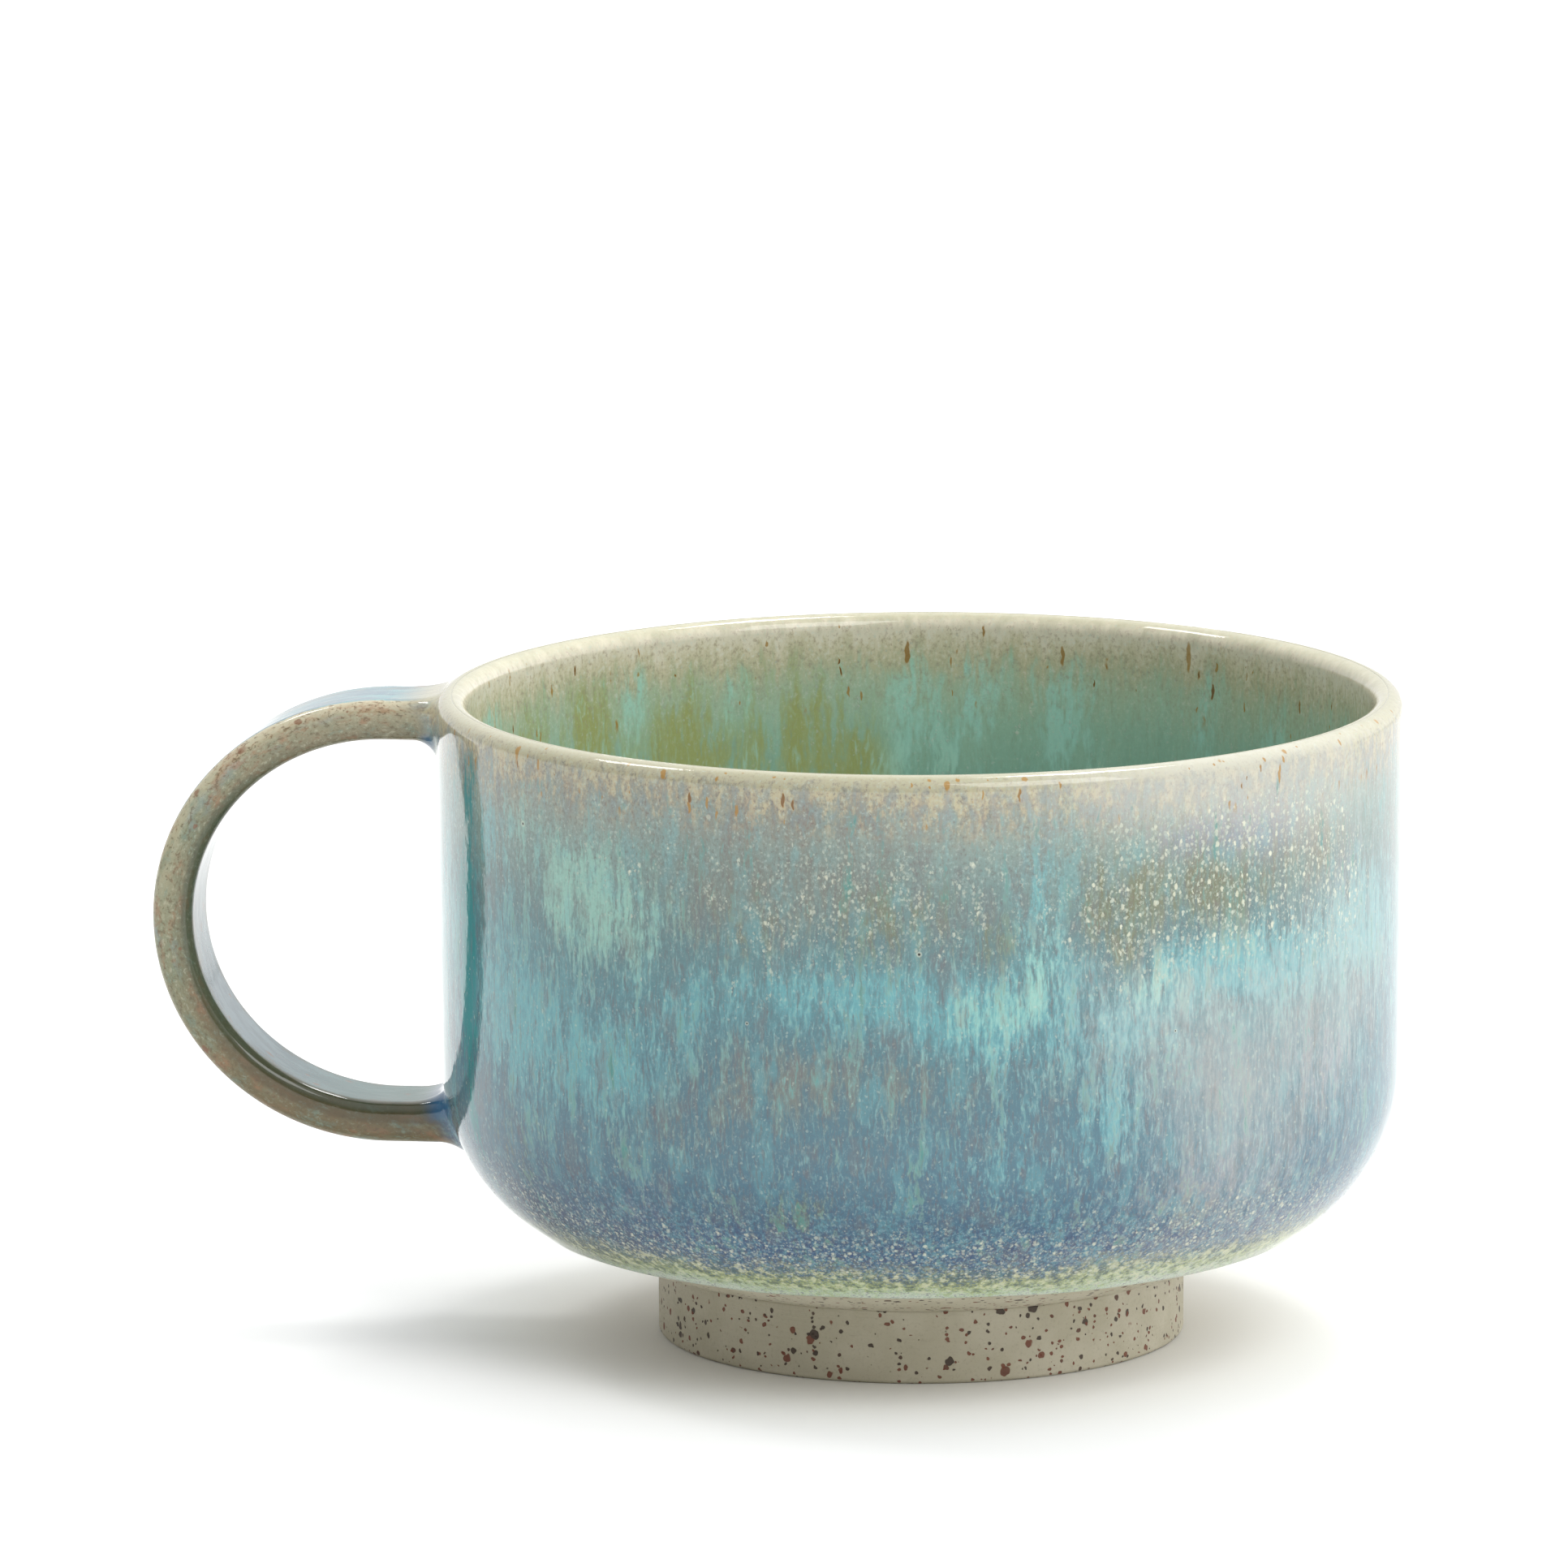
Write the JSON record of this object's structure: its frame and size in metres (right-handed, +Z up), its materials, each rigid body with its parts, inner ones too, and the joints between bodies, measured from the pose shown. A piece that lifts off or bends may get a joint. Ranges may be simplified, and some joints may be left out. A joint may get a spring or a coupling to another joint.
{
  "type": "ceramic mug",
  "caption": "Low wide stoneware mug with a strap handle on one side and a bare turned foot ring, glazed inside and out.",
  "frame": {"origin": "middle of the footprint, in the plane of the foot ring's flat face", "axes": "+Z up along the bowl's axis, handle towards -X, so the bowl's axis stands at X = +15.75 mm"},
  "size_m": [0.1366, 0.105, 0.0705],
  "materials": {
    "stoneware": "matte bare clay with iron specks",
    "glaze_outside": "glossy runny glaze",
    "glaze_inside": "glossy runny glaze",
    "glaze_handle": "glossy runny glaze"
  },
  "bodies": {
    "root": {"cup_body": "stoneware", "foot_ring": "stoneware", "handle_strap": "stoneware", "slip_joint_upper": "stoneware", "slip_joint_lower": "stoneware", "glaze_outside": "glaze_outside", "glaze_inside": "glaze_inside", "glaze_handle": "glaze_handle"}
  },
  "joints": []
}
